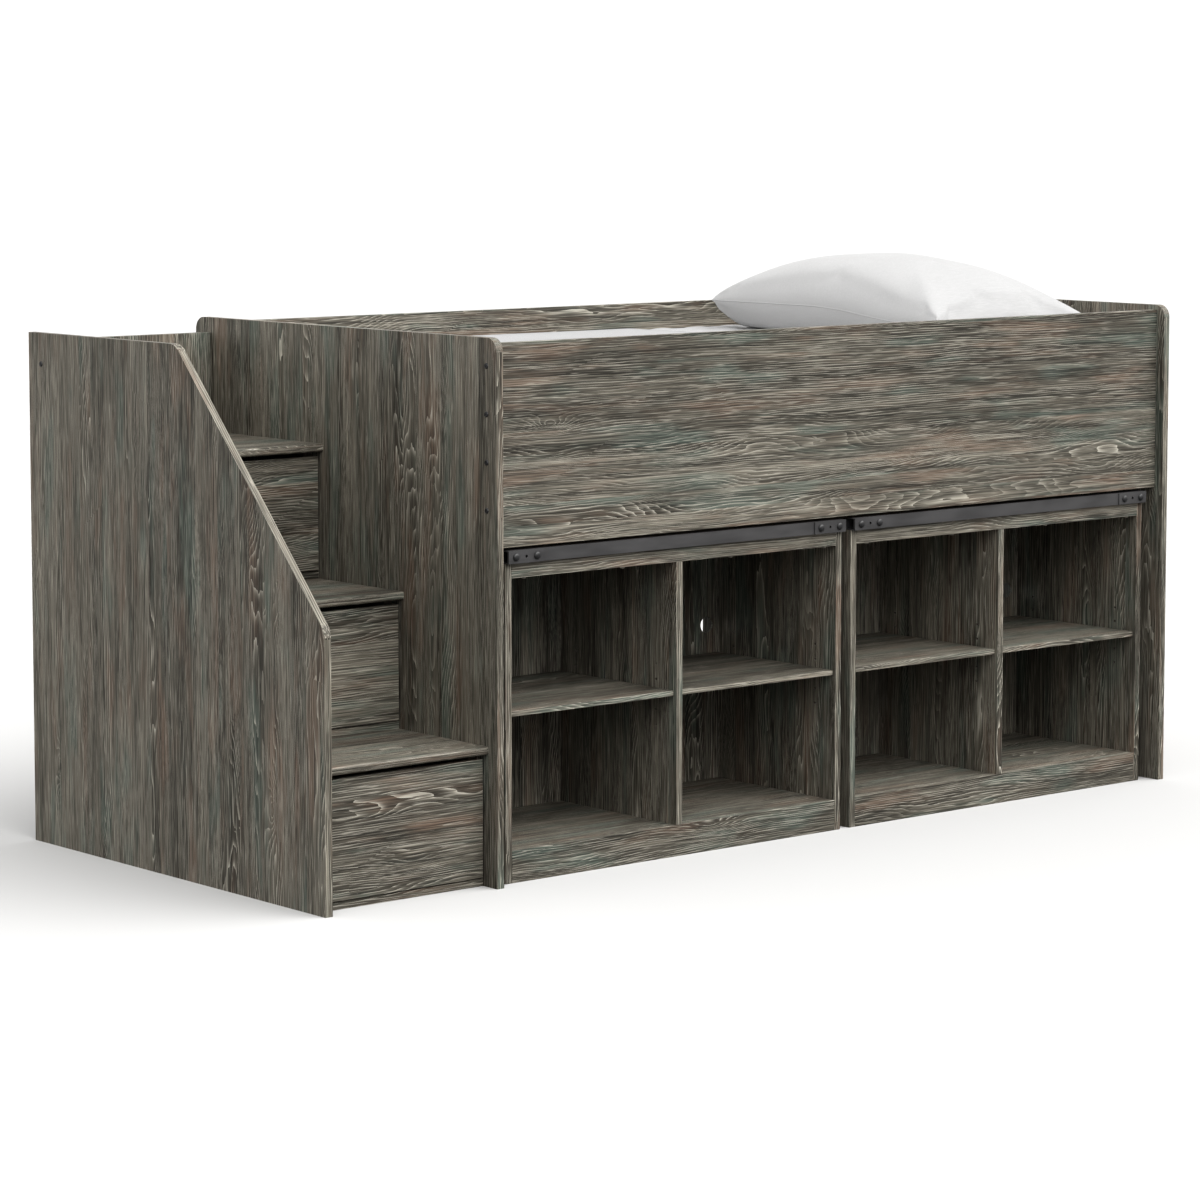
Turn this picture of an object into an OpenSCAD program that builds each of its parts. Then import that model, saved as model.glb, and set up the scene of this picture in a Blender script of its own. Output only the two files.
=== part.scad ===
// Mid-height loft bed with a three-step drawer stair and two open bookcases under its front rail.
// The origin is on the floor at the middle of the whole object, +X runs along the bed away from
// the stair, +Y runs to the back and +Z is up. Lengths are in millimetres.
// Inside the modules a point is given as x from the outer face of the bed's left end panel,
// y from the front edges of the end panels and z from the floor, and from_bed() puts it in place.

/* [Bed] */
// Length of the bed over its two end panels
bed_len = 1980; // [1970:1:2000]
// Depth of the end panels, front to back
depth = 1046; // [1040:1:1060]
// Height of the end panels
bed_h = 1102; // [1096:1:1120]
// Thickness of the boards
board = 17; // [16.5:0.5:18]
// Cut on the long edges of the boards
edge = 0.8; // [0.4:0.1:1]
// Radius of the end panels' top corners
corner_r = 28; // [15:1:40]
// Height of the front and back rails
rail_h = 410; // [404:1:414]
// Underside of the rails above the floor
rail_z = 681; // [681:1:684]
// Outer face of each rail in from the edges of the end panels
rail_inset = 23; // [20:1:26]
// Top of the slats above the floor
slat_top = 834; // [824:1:844]
// Number of slats
slat_count = 14; // [10:1:16]
// Width of a slat
slat_w = 70; // [60:1:80]
// Thickness of a slat
slat_t = 18; // [15:1:20]
// Height of the strips that carry the slats
ledger_h = 40; // [30:1:50]
// Thickness of the strips that carry the slats
ledger_t = 25; // [20:1:30]

/* [Stair] */
// Width of the stair from the bed's end panel to its own outer face
stair_w = 424; // [410:1:440]
// Height of the stair's outer side panel
stair_h = 1084; // [1080:1:1090]
// Height of the side panel's front edge, before its bend is rounded
stair_front_h = 558; // [530:1:570]
// Where the slope of the side panel meets its level top
slope_end = 498; // [480:1:520]
// Radius of the two bends of the side panel's outline
bend_r = 45; // [20:1:60]
// Height of the stair's back panel
stair_back_h = 1070; // [1060:1:1078]
// Front of the back panel in from the back edge
stair_back_inset = 56; // [50:1:60]
// Height from one tread to the next
rise = 285; // [280:1:288]
// Distance from one nosing to the next
going = 276; // [270:1:280]
// First nosing behind the front edge of the side panel
first_nosing = 28; // [24:1:34]
// Radius of a nosing's edges
nosing_r = 6; // [3:1:7]

/* [Drawers] */
// Drawer front behind the nosing over it
front_setback = 13; // [10:1:16]
// Toe rail behind the drawer front over it
toe_setback = 5; // [3:1:8]
// Height of the toe rail under a drawer front
toe_h = 16; // [14:1:18]
// Gap between a drawer front and the toe rail
front_gap = 2; // [1.5:0.5:4]
// Gap over a drawer front, where the fingers pull it
finger_gap = 10; // [8:1:14]
// Gap at each end of a drawer front
end_gap = 4; // [3:0.5:5]
// Length of the drawer slides
slide_len = 350; // [300:10:350]
// Gap beside the drawer box that holds a slide
slide_gap = 13; // [13:0.5:14]
// Height of the drawer box
box_h = 170; // [120:1:180]
// Thickness of the drawer box sides
box_t = 12; // [11:0.5:14]
// Thickness of the drawer base
base_t = 4; // [3:0.5:5]

/* [Bookcases] */
// Width of one bookcase
case_w = 928; // [900:1:935]
// First bookcase from the outer face of the left end panel
case_x = 43; // [36:1:46]
// Distance from one bookcase to the next
case_step = 955; // [950:1:962]
// Front of the bookcases behind the end panels' edges
case_y = 28; // [24:1:32]
// Depth of a bookcase
case_d = 430; // [400:1:440]
// Height of a bookcase without its steel bar
case_h = 649; // [642:1:652]
// Front of the back panel behind the bookcase front
back_y = 376; // [350:1:380]
// Thickness of the back panel
back_t = 6; // [4:1:8]
// Height of the base board under the bottom shelf
plinth_h = 66; // [60:1:72]
// Height of the strip under the top
strip_h = 31; // [26:1:36]
// Top of the loose shelves above the floor
shelf_top = 349; // [330:1:365]
// Thickness of a loose shelf
shelf_t = 12; // [10:1:15]
// Front of a loose shelf behind the bookcase front
shelf_setback = 7; // [4:1:12]
// Diameter of a shelf pin
pin_d = 5; // [4:1:6]
// Spacing of the shelf pin holes
pin_pitch = 32; // [32:1:40]
// Diameter of the cable hole in the back panel
cable_d = 36; // [30:1:50]
// Height of the cable hole's centre
cable_z = 412; // [400:1:440]
// Cable hole's centre from the right side panel
cable_inset = 36; // [32:1:60]

/* [Steel bars] */
// Height of the bar on top of each bookcase
bar_h = 26; // [20:1:27]
// Depth of the bar
bar_d = 28; // [20:1:32]
// Wall of the bar
bar_wall = 2; // [1.5:0.5:3]
// Front of the bar ahead of the bookcase front
bar_proud = 10; // [6:1:12]
// Length of the plate at each end of a bar
plate_len = 91; // [80:1:110]
// Thickness of an end plate
plate_t = 2.5; // [2:0.5:4]

/* [Bedding] */
// Length of the mattress
mattress_len = 1905; // [1880:5:1920]
// Width of the mattress
mattress_w = 960; // [940:5:960]
// Thickness of the mattress
mattress_t = 200; // [150:5:200]
// Length of the pillow, across the bed
pillow_len = 750; // [650:10:760]
// Width of the pillow, along the bed
pillow_w = 550; // [450:10:560]
// Thickness of the pillow
pillow_t = 176; // [120:1:180]

/* [Fasteners] */
// Diameter of the frame bolts
bolt_d = 6; // [5:1:6]
// Diameter of the frame bolts' heads
bolt_head_d = 12; // [10:1:14]
// Spacing of the bolts up a rail's end
bolt_pitch = 96; // [90:1:96]
// Lowest bolt above a rail's underside
bolt_low = 77; // [60:1:90]

/* [Hidden] */
$fn = 48;
total_w = bed_len + stair_w;
clear = 0.25;                       // running gap around a shank, nut or pin

// Bed
inner_x = board;                    // inner face of the left end panel
inner_x2 = bed_len - board;         // inner face of the right end panel
back_rail_y = depth - rail_inset - board;
rail_in = rail_inset + board;       // inner face of the front rail
bolt_z = [for (i = [0:3]) rail_z + bolt_low + i * bolt_pitch];
head_t = 2;                         // height of a bolt head
bolt_reach = 48;                    // length of a frame bolt under its head
nut_x = 40;                         // barrel nut from the outer face
nut_d = 10;
nut_len = 13.5;
nut_hole = 14;                      // depth of a barrel nut's hole
slat_step = (inner_x2 - inner_x - 60 - slat_w) / (slat_count - 1);

// Stair
stair_x = board - stair_w;          // inner face of the stair's side panel
stair_back_y = depth - stair_back_inset;
stair_bolt_z = 1019;
cleat = 20;                         // section of the strips under the treads

// Drawers
front_h = rise - board - toe_h - front_gap - finger_gap;
box_lift = 12;                      // box above the lower edge of its front
groove_lift = 8;                    // groove for the base above the box's lower edge
groove_in = 5;                      // depth of the groove for the base
slide_h = 45;
slide_wall = 1.2;

// Bookcases
divider_x = (case_w - board) / 2;
bay_w = divider_x - board;
pin_rows = [for (i = [-2:2]) shelf_top - shelf_t - pin_d / 2 + i * pin_pitch];
pin_in = 8;                         // depth of a pin in its hole
pin_out = 7;                        // length of a pin in the bay
pin_columns = [64, back_y - 50];    // pins behind the bookcase front
cap_x = [19, 73];                   // bar bolts from the end of a bar
gauge_x = 46;                       // small hole between the bar bolts
stud_x = [55, 315, 613, 883];       // screws under the top strip, from the side of the case
screw_d = 4;

// ---- helpers ----

module from_bed(x = 0, y = 0, z = 0)
    translate([x + stair_w - total_w / 2, y - depth / 2, z]) children();

module oak() color([0.42, 0.40, 0.37]) children();
module oak_dark() color([0.36, 0.34, 0.32]) children();
module oak_light() color([0.52, 0.49, 0.45]) children();
module birch() color([0.80, 0.72, 0.60]) children();
module pine() color([0.86, 0.74, 0.55]) children();
module zinc() color([0.70, 0.71, 0.73]) children();
module gunmetal() color([0.27, 0.27, 0.29]) children();
module linen() color([0.93, 0.93, 0.94]) children();

// Rectangle with its corners cut
module eased_rect(a, b)
    polygon([[edge, 0], [a - edge, 0], [a, edge], [a, b - edge],
             [a - edge, b], [edge, b], [0, b - edge], [0, edge]]);

// Board with all its edges eased
module plank(size)
    intersection() {
        linear_extrude(size.z) eased_rect(size.x, size.y);
        translate([0, size.y, 0]) rotate([90, 0, 0]) linear_extrude(size.y) eased_rect(size.x, size.z);
        rotate([90, 0, 90]) linear_extrude(size.x) eased_rect(size.y, size.z);
    }

// Outline in y and z, as thick as len along x
module along_x(len) rotate([90, 0, 90]) linear_extrude(len) children();

// Round rods along x and along y, starting at the origin
module rod_x(d, len) rotate([0, 90, 0]) cylinder(d = d, h = len);
module rod_y(d, len) rotate([-90, 0, 0]) cylinder(d = d, h = len);

// Arc that rounds the corner b between the points a and c
function unit(v) = v / norm(v);
function rounded(a, b, c, r, n = 10) =
    let (u = unit(a - b), v = unit(c - b),
         half = acos(u * v) / 2,
         centre = b + unit(u + v) * r / sin(half),
         from = b + u * r / tan(half) - centre,
         to = b + v * r / tan(half) - centre,
         start = atan2(from.y, from.x),
         turn = atan2(from.x * to.y - from.y * to.x, from * to))
    [for (i = [0:n]) centre + r * [cos(start + turn * i / n), sin(start + turn * i / n)]];

// ---- bed ----

module end_outline(h)
    union() {
        square([depth, h - corner_r]);
        translate([corner_r, 0]) square([depth - 2 * corner_r, h]);
        for (y = [corner_r, depth - corner_r]) translate([y, h - corner_r]) circle(corner_r);
    }

module rail_bolt_holes(x)
    for (y = [rail_inset, back_rail_y], z = bolt_z)
        translate([x, y + board / 2, z]) rod_x(bolt_d + 2 * clear, board + 2);

module left_end_panel() oak() from_bed() difference() {
    along_x(board) end_outline(bed_h);
    rail_bolt_holes(-1);
    translate([-1, stair_back_y + board / 2, stair_bolt_z]) rod_x(bolt_d + 2 * clear, board + 2);
}

module right_end_panel() oak() from_bed() difference() {
    translate([inner_x2, 0, 0]) along_x(board) end_outline(bed_h);
    rail_bolt_holes(inner_x2 - 1);
}

// Rail with a bolt hole into each end; its barrel nut holes are drilled from nut_y along +y
module rail(y, nut_y) oak() from_bed() difference() {
    translate([inner_x, y, rail_z]) plank([inner_x2 - inner_x, board, rail_h]);
    for (z = bolt_z) {
        for (x = [inner_x - 1, bed_len - bolt_reach - clear])
            translate([x, y + board / 2, z])
                rod_x(bolt_d + 2 * clear, bolt_reach + clear - inner_x + 1);
        for (x = [nut_x, bed_len - nut_x])
            translate([x, nut_y, z]) rod_y(nut_d + 2 * clear, nut_hole + 1);
    }
}
module front_rail() rail(rail_inset, rail_in - nut_hole);
module back_rail() rail(back_rail_y, back_rail_y - 1);

module slat_ledgers() pine() from_bed()
    for (y = [rail_in, back_rail_y - ledger_t])
        translate([inner_x + 10, y, slat_top - slat_t - ledger_h])
            plank([inner_x2 - inner_x - 20, ledger_t, ledger_h]);

module bed_slats() pine() from_bed()
    for (i = [0:slat_count - 1])
        translate([inner_x + 30 + i * slat_step, rail_in + 2, slat_top - slat_t])
            plank([slat_w, back_rail_y - rail_in - 4, slat_t]);

module slat_straps() linen() from_bed()
    for (y = [depth * 0.3, depth * 0.7])
        translate([inner_x + 35, y - 10, slat_top - slat_t - 1.2])
            cube([inner_x2 - inner_x - 70, 20, 1.2]);

// Bolt with a shallow domed head, its shank along +x from the origin
module frame_bolt(len) {
    rod_x(bolt_d, len);
    translate([-head_t, 0, 0]) difference() {
        rotate([0, 90, 0]) cylinder(d1 = bolt_head_d - 3, d2 = bolt_head_d, h = head_t);
        translate([-1, 0, 0]) rotate([0, 90, 0]) cylinder(d = 4, h = 2.2, $fn = 6);
    }
}

module rail_bolts() gunmetal() from_bed()
    for (y = [rail_inset, back_rail_y], z = bolt_z) {
        translate([0, y + board / 2, z]) frame_bolt(bolt_reach);
        translate([bed_len, y + board / 2, z]) mirror([1, 0, 0]) frame_bolt(bolt_reach);
    }

// Barrel nut that starts at the origin and runs along +y, its thread half a board in
module barrel_nut()
    difference() {
        rod_y(nut_d, nut_len);
        translate([-nut_d, board / 2, 0]) rod_x(bolt_d + 0.2, 2 * nut_d);
    }

module barrel_nuts() zinc() from_bed() {
    for (x = [nut_x, bed_len - nut_x], z = bolt_z) {
        translate([x, rail_in, z]) mirror([0, 1, 0]) barrel_nut();
        translate([x, back_rail_y, z]) barrel_nut();
    }
    for (x = [stair_x + nut_x - board, board - nut_x])
        translate([x, stair_back_y + board, stair_bolt_z]) mirror([0, 1, 0]) barrel_nut();
}

// ---- stair ----

side_front = [0, stair_front_h];
side_top = [slope_end, stair_h];
side_outline = concat(
    [[0, 0], [depth, 0], [depth, stair_h]],
    rounded([depth, stair_h], side_top, side_front, bend_r),
    rounded(side_top, side_front, [0, 0], bend_r));

module stair_side_panel() oak() from_bed() difference() {
    translate([-stair_w, 0, 0]) along_x(board) polygon(side_outline);
    translate([-stair_w - 1, stair_back_y + board / 2, stair_bolt_z])
        rod_x(bolt_d + 2 * clear, board + 2);
}

module stair_back_panel() oak() from_bed() difference() {
    translate([stair_x, stair_back_y, 0]) plank([-stair_x, board, stair_back_h]);
    for (x = [stair_x - 1, -(bolt_reach - board) - clear])
        translate([x, stair_back_y + board / 2, stair_bolt_z])
            rod_x(bolt_d + 2 * clear, bolt_reach - board + clear + 1);
    for (x = [stair_x + nut_x - board, board - nut_x])
        translate([x, stair_back_y + board - nut_hole, stair_bolt_z])
            rod_y(nut_d + 2 * clear, nut_hole + 1);
}

function nosing_y(i) = first_nosing + i * going;
function tread_z(i) = (i + 1) * rise;
function drawer_y(i) = nosing_y(i) + front_setback;
function toe_y(i) = drawer_y(i) + toe_setback;
function floor_z(i) = i * rise;

// Tread that is as deep as len, with a rounded nosing
module tread(i, len) oak() from_bed()
    translate([stair_x, nosing_y(i), tread_z(i) - board]) along_x(-stair_x) union() {
        translate([nosing_r, 0]) square([len - nosing_r, board]);
        translate([0, nosing_r]) square([len, board - 2 * nosing_r]);
        for (z = [nosing_r, board - nosing_r]) translate([nosing_r, z]) circle(nosing_r);
    }
step_depth = going + front_setback + toe_setback + board;
module bottom_tread() tread(0, step_depth);
module middle_tread() tread(1, step_depth);
module top_tread() tread(2, stair_back_y - nosing_y(2));

module toe_rails() oak_dark() from_bed()
    for (i = [0:2]) translate([stair_x, toe_y(i), floor_z(i)]) plank([-stair_x, board, toe_h]);

module tread_cleats() pine() from_bed()
    for (i = [0:2], x = [stair_x, -cleat])
        translate([x, drawer_y(i) + board + 10, tread_z(i) - board - cleat])
            plank([cleat, step_depth - front_setback - board - 20, cleat]);

module stair_bolts() gunmetal() from_bed()
    translate([0, stair_back_y + board / 2, stair_bolt_z]) {
        translate([-stair_w, 0, 0]) frame_bolt(bolt_reach);
        translate([board, 0, 0]) mirror([1, 0, 0]) frame_bolt(bolt_reach);
    }

// ---- drawers ----

slide_x = slide_gap;                            // drawer box in from the stair's sides
function front_z(i) = floor_z(i) + toe_h + front_gap;
function box_z(i) = front_z(i) + box_lift;
function slide_z(i) = box_z(i) + box_h / 2;

// Fixed member of a slide, open towards +x, with its back on x = 0
module channel(len)
    difference() {
        translate([0, 0, -slide_h / 2]) cube([10.5, len, slide_h]);
        translate([slide_wall, -1, -slide_h / 2 + slide_wall])
            cube([20, len + 2, slide_h - 2 * slide_wall]);
    }

// Moving member of a slide, inside the channel, with its back on x = slide_gap
module runner(len)
    difference() {
        translate([2.5, 0, -17]) cube([slide_gap - 2.5, len, 34]);
        translate([1, -1, -17 + slide_wall])
            cube([slide_gap - 1 - slide_wall, len + 2, 34 - 2 * slide_wall]);
    }

module drawer_channels() zinc() from_bed()
    for (i = [0:2]) translate([0, toe_y(i) + board + 3, slide_z(i)]) {
        translate([stair_x, 0, 0]) channel(slide_len);
        mirror([1, 0, 0]) channel(slide_len);
    }

module drawer_front(i) oak() from_bed()
    translate([stair_x + end_gap, drawer_y(i), front_z(i)]) difference() {
        plank([-stair_x - 2 * end_gap, board, front_h]);
        translate([slide_x - end_gap + box_t - groove_in, board - groove_in, box_lift + groove_lift])
            cube([-stair_x - 2 * (slide_x + box_t - groove_in), groove_in + 1, base_t + 2 * clear]);
    }

module drawer_side()
    difference() {
        plank([box_t, slide_len, box_h]);
        translate([box_t - groove_in, -1, groove_lift])
            cube([groove_in + 1, slide_len + 2, base_t + 2 * clear]);
    }

module drawer_sides(i) birch() from_bed()
    translate([0, drawer_y(i) + board, box_z(i)]) {
        translate([stair_x + slide_x, 0, 0]) drawer_side();
        translate([-slide_x, 0, 0]) mirror([1, 0, 0]) drawer_side();
    }

box_in_w = -stair_x - 2 * (slide_x + box_t);    // width inside the drawer box
module drawer_back(i) birch() from_bed()
    translate([stair_x + slide_x + box_t, drawer_y(i) + board + slide_len - box_t,
               box_z(i) + groove_lift + base_t + 2 * clear])
        plank([box_in_w, box_t, box_h - groove_lift - base_t - 2 * clear - 4]);

module drawer_base(i) color([0.75, 0.66, 0.53]) from_bed()
    translate([stair_x + slide_x + box_t - groove_in + clear,
               drawer_y(i) + board - groove_in + clear,
               box_z(i) + groove_lift + clear])
        cube([box_in_w + 2 * (groove_in - clear), slide_len + groove_in - 2 * clear, base_t]);

module drawer_slides(i) zinc() from_bed()
    translate([0, drawer_y(i) + board, slide_z(i)]) {
        translate([stair_x, 0, 0]) runner(slide_len);
        mirror([1, 0, 0]) runner(slide_len);
    }

module bottom_drawer_front() drawer_front(0);
module bottom_drawer_sides() drawer_sides(0);
module bottom_drawer_back() drawer_back(0);
module bottom_drawer_base() drawer_base(0);
module bottom_drawer_slides() drawer_slides(0);
module middle_drawer_front() drawer_front(1);
module middle_drawer_sides() drawer_sides(1);
module middle_drawer_back() drawer_back(1);
module middle_drawer_base() drawer_base(1);
module middle_drawer_slides() drawer_slides(1);
module top_drawer_front() drawer_front(2);
module top_drawer_sides() drawer_sides(2);
module top_drawer_back() drawer_back(2);
module top_drawer_base() drawer_base(2);
module top_drawer_slides() drawer_slides(2);

// ---- bookcases ----

// Puts its children in bookcase k, with x from the case's left side and y from its front
module in_case(k) from_bed(case_x + k * case_step, case_y, 0) children();

// Rows of pin holes drilled along +x from the origin
module pin_holes(len)
    for (y = pin_columns, z = pin_rows) translate([0, y, z]) rod_x(pin_d + 2 * clear, len);

module case_side(k, right) oak() in_case(k) difference() {
    translate([right ? case_w - board : 0, 0, 0]) plank([board, case_d, case_h]);
    translate([right ? case_w - board - 1 : board - pin_in - 1, 0, 0]) pin_holes(pin_in + 2);
}

module case_divider(k) oak() in_case(k) difference() {
    translate([divider_x, 0, 0]) along_x(board)
        polygon([[0, plinth_h], [back_y, plinth_h], [back_y, case_h - board],
                 [board, case_h - board], [board, case_h - strip_h], [0, case_h - strip_h]]);
    for (x = [divider_x - 1, divider_x + board - pin_in]) translate([x, 0, 0]) pin_holes(pin_in + 1);
}

module case_top(k) oak() in_case(k)
    translate([board, board, case_h - board]) plank([case_w - 2 * board, back_y - board, board]);

module case_deck(k) oak() in_case(k)
    translate([board, board, plinth_h - board]) plank([case_w - 2 * board, back_y - board, board]);

module case_plinth(k) oak() in_case(k)
    translate([board, 0, 0]) plank([case_w - 2 * board, board, plinth_h]);

// Strip under the front of the top, drilled from below for its screws
module case_top_strip(k) oak_light() in_case(k) difference() {
    translate([board, 0, case_h - strip_h]) plank([case_w - 2 * board, board, strip_h]);
    for (x = stud_x) translate([x, board / 2, case_h - strip_h - 1]) cylinder(d = screw_d + 0.4, h = 26);
}

module case_back(k) oak_dark() in_case(k) difference() {
    translate([board, back_y, plinth_h - board])
        cube([case_w - 2 * board, back_t, case_h - plinth_h + board]);
    translate([case_w - board - cable_inset, back_y - 1, cable_z]) rod_y(cable_d, back_t + 2);
}

module case_shelves(k) oak() in_case(k)
    for (x = [board, divider_x + board])
        translate([x + 1, shelf_setback, shelf_top - shelf_t])
            plank([bay_w - 2, back_y - shelf_setback - 1, shelf_t]);

module steel_bar(k) gunmetal() in_case(k) difference() {
    translate([0, -bar_proud, case_h]) cube([case_w, bar_d, bar_h]);
    translate([-1, bar_wall - bar_proud, case_h + bar_wall])
        cube([case_w + 2, bar_d - 2 * bar_wall, bar_h - 2 * bar_wall]);
    for (x = cap_x, end = [0, 1])
        translate([end == 0 ? x : case_w - x, -bar_proud - 1, case_h + bar_h / 2])
            rod_y(bolt_d + 2 * clear, bar_wall + 2);
    for (end = [0, 1])
        translate([end == 0 ? gauge_x : case_w - gauge_x, -bar_proud - 1, case_h + bar_h / 2])
            rod_y(bolt_d, bar_wall + 2);
    for (x = [60, case_w / 2, case_w - 60])
        translate([x, bar_d / 2 - bar_proud, case_h + 1]) cylinder(d = 4.5, h = bar_wall + 2);
}

module left_case_left_side() case_side(0, false);
module left_case_right_side() case_side(0, true);
module left_case_divider() case_divider(0);
module left_case_top() case_top(0);
module left_case_deck() case_deck(0);
module left_case_plinth() case_plinth(0);
module left_case_top_strip() case_top_strip(0);
module left_case_back() case_back(0);
module left_case_shelves() case_shelves(0);
module left_steel_bar() steel_bar(0);
module right_case_left_side() case_side(1, false);
module right_case_right_side() case_side(1, true);
module right_case_divider() case_divider(1);
module right_case_top() case_top(1);
module right_case_deck() case_deck(1);
module right_case_plinth() case_plinth(1);
module right_case_top_strip() case_top_strip(1);
module right_case_back() case_back(1);
module right_case_shelves() case_shelves(1);
module right_steel_bar() steel_bar(1);

module end_plate() difference() {
    cube([plate_len, plate_t, bar_h]);
    for (x = cap_x) translate([x, -1, bar_h / 2]) rod_y(bolt_d + 2 * clear, plate_t + 2);
    translate([gauge_x, -1, bar_h / 2]) rod_y(bolt_d, plate_t + 2);
}

module bar_end_plates() gunmetal()
    for (k = [0, 1]) in_case(k) translate([0, -bar_proud - plate_t, case_h]) {
        end_plate();
        translate([case_w, 0, 0]) mirror([1, 0, 0]) end_plate();
    }

// Domed cap bolt, its head ahead of the origin and its shank along +y
module cap_bolt() {
    rod_y(bolt_d, 16);
    translate([0, -5, 0]) rotate([-90, 0, 0]) rotate_extrude()
        polygon([[0, 0], [2.5, 0.1], [5, 0.8], [7, 2.2], [8, 4], [8, 5], [0, 5]]);
}

module bar_bolts() gunmetal()
    for (k = [0, 1], x = cap_x) in_case(k)
        for (at = [x, case_w - x])
            translate([at, -bar_proud - plate_t, case_h + bar_h / 2]) cap_bolt();

module shelf_pins() zinc()
    for (k = [0, 1], y = pin_columns) in_case(k)
        for (x = [board - pin_in, divider_x - pin_out, divider_x + board - pin_in,
                  case_w - board - pin_out])
            translate([x, y, pin_rows[2]]) rod_x(pin_d, pin_in + pin_out);

// Screw up into the top strip, with its round cover cap below it
module strip_screws() oak_light()
    for (k = [0, 1], x = stud_x) in_case(k) translate([x, board / 2, case_h - strip_h]) {
        cylinder(d = screw_d, h = 24);
        translate([0, 0, -3]) cylinder(d1 = 8, d2 = 11, h = 3);
    }

// ---- bedding ----

mattress_x = inner_x + (inner_x2 - inner_x - mattress_len) / 2;
mattress_y = (depth - mattress_w) / 2;
mattress_top = slat_top + mattress_t;
sheet_end = 1140;                               // hem of the folded sheet across the bed
sheet_t = 6;

module soft_rect(a, b, r)
    translate([r, r]) offset(r) square([a - 2 * r, b - 2 * r]);

module mattress() linen() from_bed()
    translate([mattress_x, mattress_y, slat_top])
        linear_extrude(mattress_t) soft_rect(mattress_len, mattress_w, 45, $fn = 32);

module folded_sheet() color([0.90, 0.91, 0.93]) from_bed()
    translate([mattress_x + 12, mattress_y + 24, mattress_top])
        cube([sheet_end - mattress_x - 12, mattress_w - 104, sheet_t]);

// One level of the pillow: a rounded plate in from the pillow's edges at the height z
module pillow_level(inset, z)
    translate([inset, inset, z])
        linear_extrude(1) soft_rect(pillow_w - 2 * inset, pillow_len - 2 * inset, 60, $fn = 24);

module pillow() linen() from_bed(1370, 150, mattress_top + 0.3)
    hull() {
        pillow_level(50, 0);
        pillow_level(12, 35);
        pillow_level(0, 62);
        pillow_level(25, 100);
        pillow_level(75, 140);
        pillow_level(150, pillow_t - 1);
    }

// ---- nodes ----

left_end_panel();
right_end_panel();
front_rail();
back_rail();
slat_ledgers();
bed_slats();
slat_straps();
rail_bolts();
barrel_nuts();
stair_side_panel();
stair_back_panel();
bottom_tread();
middle_tread();
top_tread();
toe_rails();
tread_cleats();
stair_bolts();
drawer_channels();
bottom_drawer_front();
bottom_drawer_sides();
bottom_drawer_back();
bottom_drawer_base();
bottom_drawer_slides();
middle_drawer_front();
middle_drawer_sides();
middle_drawer_back();
middle_drawer_base();
middle_drawer_slides();
top_drawer_front();
top_drawer_sides();
top_drawer_back();
top_drawer_base();
top_drawer_slides();
left_case_left_side();
left_case_right_side();
left_case_divider();
left_case_top();
left_case_deck();
left_case_plinth();
left_case_top_strip();
left_case_back();
left_case_shelves();
left_steel_bar();
right_case_left_side();
right_case_right_side();
right_case_divider();
right_case_top();
right_case_deck();
right_case_plinth();
right_case_top_strip();
right_case_back();
right_case_shelves();
right_steel_bar();
bar_end_plates();
bar_bolts();
shelf_pins();
strip_screws();
mattress();
folded_sheet();
pillow();
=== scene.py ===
"""The looks of a mid-height loft bed with a drawer stair and two bookcases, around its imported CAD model.

Lengths are in metres. The floor is z = 0, +X runs from the stair to the pillow end, and the front is -Y.
"""
import math
import random

import bmesh
import bpy
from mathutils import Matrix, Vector, noise


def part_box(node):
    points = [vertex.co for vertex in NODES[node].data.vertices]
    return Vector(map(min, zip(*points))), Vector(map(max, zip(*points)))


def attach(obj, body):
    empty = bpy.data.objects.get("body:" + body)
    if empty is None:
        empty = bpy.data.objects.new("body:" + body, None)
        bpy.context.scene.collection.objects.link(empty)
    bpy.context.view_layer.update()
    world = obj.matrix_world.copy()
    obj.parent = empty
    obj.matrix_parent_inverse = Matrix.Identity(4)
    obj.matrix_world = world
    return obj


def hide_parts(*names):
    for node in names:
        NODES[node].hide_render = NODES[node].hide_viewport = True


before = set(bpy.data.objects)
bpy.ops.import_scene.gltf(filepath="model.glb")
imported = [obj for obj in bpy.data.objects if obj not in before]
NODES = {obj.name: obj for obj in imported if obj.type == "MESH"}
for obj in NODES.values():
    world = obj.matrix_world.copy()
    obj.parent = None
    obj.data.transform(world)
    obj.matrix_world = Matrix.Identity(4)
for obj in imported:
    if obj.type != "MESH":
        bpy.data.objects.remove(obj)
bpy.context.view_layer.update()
X, Y, Z = Vector((1, 0, 0)), Vector((0, 1, 0)), Vector((0, 0, 1))


# ---------------------------------------------------------------- camera

def make_camera():
    """A long lens in front of the stair's corner, tilted down a little and shifted for the rest.

    The photo's camera was level, but other views keep this camera's shift, so only a small one is used."""
    data = bpy.data.cameras.new("camera")
    data.sensor_width = 36
    data.lens = 116.5
    data.shift_y = -0.1
    data.clip_end = 200
    camera = bpy.data.objects.new("camera", data)
    camera.location = (-5.550, -6.495, 1.5616)
    azimuth, pitch = math.radians(40.16), math.radians(5.53)
    camera.rotation_euler = (math.pi / 2 - pitch, 0, -azimuth)
    bpy.context.scene.collection.objects.link(camera)
    bpy.context.scene.camera = camera


# ---------------------------------------------------------------- short calls for building node trees

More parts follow.
